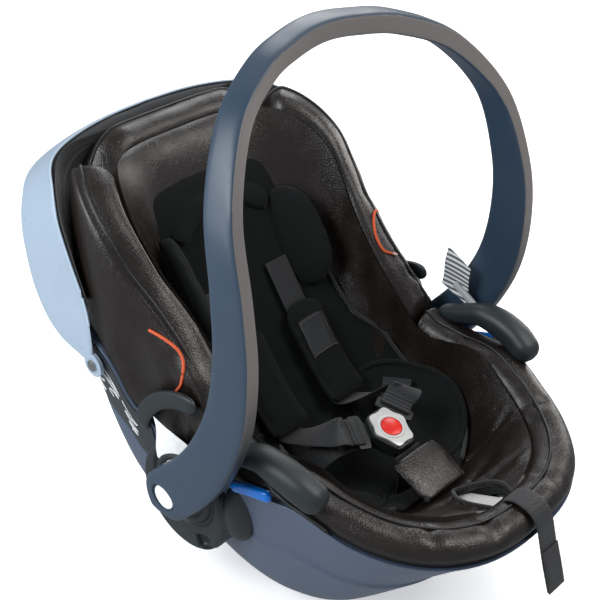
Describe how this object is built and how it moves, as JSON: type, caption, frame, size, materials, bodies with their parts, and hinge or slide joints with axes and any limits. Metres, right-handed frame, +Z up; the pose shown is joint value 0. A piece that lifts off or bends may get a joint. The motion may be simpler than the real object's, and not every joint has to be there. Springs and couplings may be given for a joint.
{
  "type": "infant car seat",
  "caption": "Rear-facing infant carrier with a moulded bucket shell, swinging carry handle, folding canopy visor, padded wings, three-point harness and push-button buckle.",
  "frame": {"origin": "on the surface the seat stands on, at the centre of its base plate", "axes": "+X across the seat to its right as seen by an adult facing the seat from its foot end, +Y from the foot end to the head end, +Z up"},
  "size_m": [0.4518, 0.6756, 0.6176],
  "materials": {
    "shell_blue": "satin moulded shell, fine grain",
    "shell_dark": "fine grained dark trim",
    "visor_blue": "satin light blue-grey",
    "handle_blue": "finely grained blue-grey",
    "charcoal": "grained charcoal",
    "marker_blue": "glossy saturated blue",
    "badge_white": "glossy white",
    "foam_black": "bare moulded foam",
    "leatherette": "black-brown grained leatherette with padding",
    "knit_black": "black jersey knit over wadding",
    "webbing": "woven black webbing",
    "plate_silver": "silver-white satin plate",
    "button_red": "glossy red",
    "plastic_black": "black moulding",
    "plate_pale": "pale blue-white satin",
    "steel": "bright steel",
    "acetal": "natural white bush",
    "rubber": "matt black",
    "canopy_cloth": "thin black woven cloth"
  },
  "bodies": {
    "root": {"outer_shell": "shell_blue", "seat_cover": "leatherette", "foam_liner": "foam_black", "foot_rim": "leatherette", "wing_cushion_left": "leatherette", "wing_cushion_right": "leatherette", "head_cushion": "leatherette", "hub_left": "charcoal", "hub_right": "charcoal", "pivot_bush_left": "acetal", "pivot_bush_right": "acetal", "lock_spring_left": "steel", "lock_spring_right": "steel", "belt_guide_left": "charcoal", "belt_guide_right": "charcoal", "belt_marker_left": "marker_blue", "belt_marker_right": "marker_blue", "belt_arch_left": "charcoal", "belt_arch_right": "charcoal", "canopy_pin_left": "steel", "canopy_pin_right": "steel", "canopy_fabric": "canopy_cloth", "seat_inlay": "knit_black", "head_pillow": "knit_black", "buckle_body": "plastic_black", "buckle_face": "plate_silver", "buckle_spring": "steel", "tongue_left": "plastic_black", "tongue_right": "plastic_black", "shoulder_strap_left": "webbing", "shoulder_strap_right": "webbing", "hip_strap_left": "webbing", "hip_strap_right": "webbing", "harness_pad_left": "knit_black", "harness_pad_right": "knit_black", "crotch_strap": "webbing", "crotch_pad": "leatherette", "adjuster_housing": "plastic_black", "adjuster_pin": "steel", "adjuster_spring": "steel", "adjuster_strap": "webbing", "base_plate": "plastic_black", "foot_front_left": "rubber", "foot_front_right": "rubber", "foot_rear_left": "rubber", "foot_rear_right": "rubber", "latch_bar_front": "steel", "latch_bar_rear": "steel", "side_panel_left": "shell_dark", "side_panel_right": "shell_dark", "rear_belt_hook": "charcoal"},
    "handle": {"handle_arch": "handle_blue"},
    "button_left": {"handle_button_left": "badge_white"},
    "button_right": {"handle_button_right": "badge_white"},
    "gear_left": {"lock_gear_left": "steel"},
    "gear_right": {"lock_gear_right": "steel"},
    "visor": {"canopy_visor": "visor_blue"},
    "buckle_push": {"buckle_button": "button_red"},
    "lever": {"adjuster_lever": "plate_pale"}
  },
  "joints": [
    {"name": "handle_swing", "type": "hinge", "parent": "root", "child": "handle", "pos_m": [0, 0.02, 0.14], "axis": [1, 0, 0], "range_deg": [-100, 0]},
    {"name": "button_press_left", "type": "slide", "parent": "handle", "child": "button_left", "axis": [1, 0, 0], "range_m": [0, 0.005], "stiffness_N_per_m": 600, "springref_m": -0.002, "deforming": ["lock_spring_left"]},
    {"name": "button_press_right", "type": "slide", "parent": "handle", "child": "button_right", "axis": [-1, 0, 0], "range_m": [0, 0.005], "stiffness_N_per_m": 600, "springref_m": -0.002, "deforming": ["lock_spring_right"]},
    {"name": "gear_slide_left", "type": "slide", "parent": "root", "child": "gear_left", "axis": [1, 0, 0], "range_m": [0, 0.005]},
    {"name": "gear_slide_right", "type": "slide", "parent": "root", "child": "gear_right", "axis": [-1, 0, 0], "range_m": [0, 0.005]},
    {"name": "visor_swing", "type": "hinge", "parent": "root", "child": "visor", "pos_m": [0, 0.161, 0.226], "axis": [1, 0, 0], "range_deg": [0, 65], "deforming": ["canopy_fabric"]},
    {"name": "buckle_press", "type": "slide", "parent": "root", "child": "buckle_push", "axis": [0, 0.2756, -0.9613], "range_m": [0, 0.003], "stiffness_N_per_m": 1200, "springref_m": -0.002, "deforming": ["buckle_spring"]},
    {"name": "adjuster_press", "type": "hinge", "parent": "root", "child": "lever", "pos_m": [0, -0.25048, 0.17378], "axis": [1, 0, 0], "range_deg": [-5, 0], "stiffness_Nm_per_rad": 0.6, "springref_deg": 5.73, "deforming": ["adjuster_spring"]}
  ],
  "couplings": [
    {"joint": "gear_slide_left", "follows": "button_press_left", "ratio": 1},
    {"joint": "gear_slide_right", "follows": "button_press_right", "ratio": 1}
  ]
}
